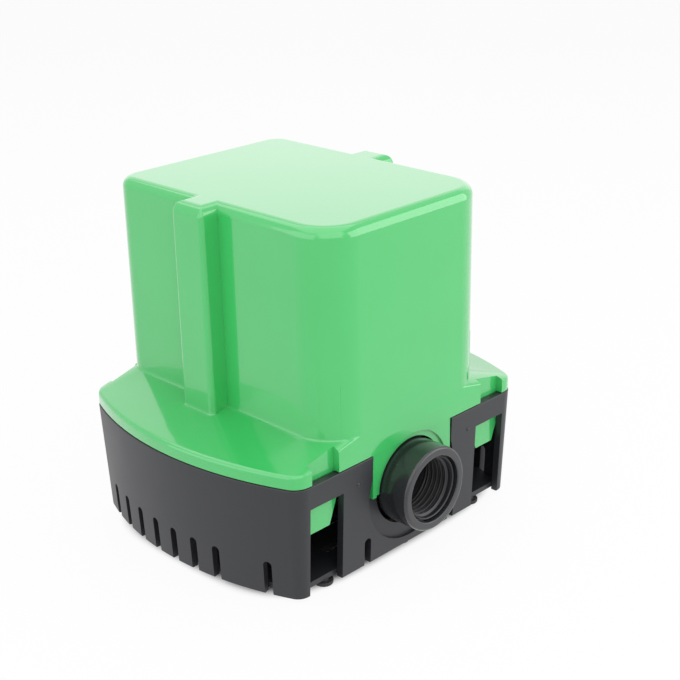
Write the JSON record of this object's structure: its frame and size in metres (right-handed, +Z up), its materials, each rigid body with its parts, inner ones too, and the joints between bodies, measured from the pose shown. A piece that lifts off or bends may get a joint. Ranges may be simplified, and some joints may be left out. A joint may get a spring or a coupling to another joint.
{
  "type": "pool cover pump",
  "caption": "Submersible pool cover pump: slotted strainer base, clip-on hood over an upright motor and centrifugal stage, with a threaded side outlet.",
  "frame": {"origin": "middle of the bounding box on the ground under the feet", "axes": "+Z up, the outlet faces -Y, +X to the right of the outlet's plane as seen from behind"},
  "size_m": [0.16, 0.1406, 0.15],
  "materials": {
    "grey_plastic": "moulded dark grey plastic, satin",
    "foot_rubber": "black rubber",
    "green_plastic": "glossy moulded green plastic",
    "steel": "turned stainless steel",
    "housing_steel": "drawn stainless sheet",
    "black_plastic": "black glass-filled plastic",
    "gasket_rubber": "black nitrile rubber",
    "core_steel": "stacked electrical steel sheets",
    "winding": "enamelled copper wire",
    "cast_aluminium": "die-cast aluminium",
    "ceramic": "lapped ceramic",
    "pipe_plastic": "black moulded plastic",
    "ring_rubber": "dark red silicone",
    "collar_plastic": "black moulded plastic, satin",
    "capacitor_plastic": "off-white plastic can",
    "terminal_plastic": "cream moulded plastic",
    "impeller_plastic": "blue glass-filled plastic",
    "nut_brass": "turned brass",
    "carbon": "carbon seal face in a plastic holder"
  },
  "bodies": {
    "strainer": {"strainer_wall": "grey_plastic", "strainer_floor": "grey_plastic", "rubber_feet": "foot_rubber"},
    "pump": {"hood": "green_plastic", "hood_screws": "steel", "chassis_plate": "black_plastic", "motor_housing": "housing_steel", "housing_gasket": "gasket_rubber", "motor_screws": "steel", "stator_core": "core_steel", "stator_windings": "winding", "upper_end_bell": "cast_aluminium", "lower_end_bell": "cast_aluminium", "upper_bearing": "steel", "lower_bearing": "steel", "lip_seal": "gasket_rubber", "seal_seat": "ceramic", "volute": "black_plastic", "cover_gasket": "gasket_rubber", "suction_cover": "black_plastic", "stage_screws": "steel", "discharge_pipe": "pipe_plastic", "pipe_o_ring": "ring_rubber", "outlet_collar": "collar_plastic", "run_capacitor": "capacitor_plastic", "capacitor_cup": "black_plastic", "terminal_block": "terminal_plastic", "cord_grommet": "gasket_rubber", "cord_clamp": "black_plastic"},
    "rotor": {"shaft": "steel", "rotor_core": "core_steel", "impeller": "impeller_plastic", "impeller_nut": "nut_brass", "seal_head": "carbon"}
  },
  "joints": [
    {"name": "strainer_release", "type": "slide", "parent": "strainer", "child": "pump", "axis": [0, 0, 1], "range_m": [0, 0.055]},
    {"name": "rotor_spin", "type": "hinge", "parent": "pump", "child": "rotor", "pos_m": [0, 0.006, 0.05], "axis": [0, 0, 1], "continuous": true}
  ]
}
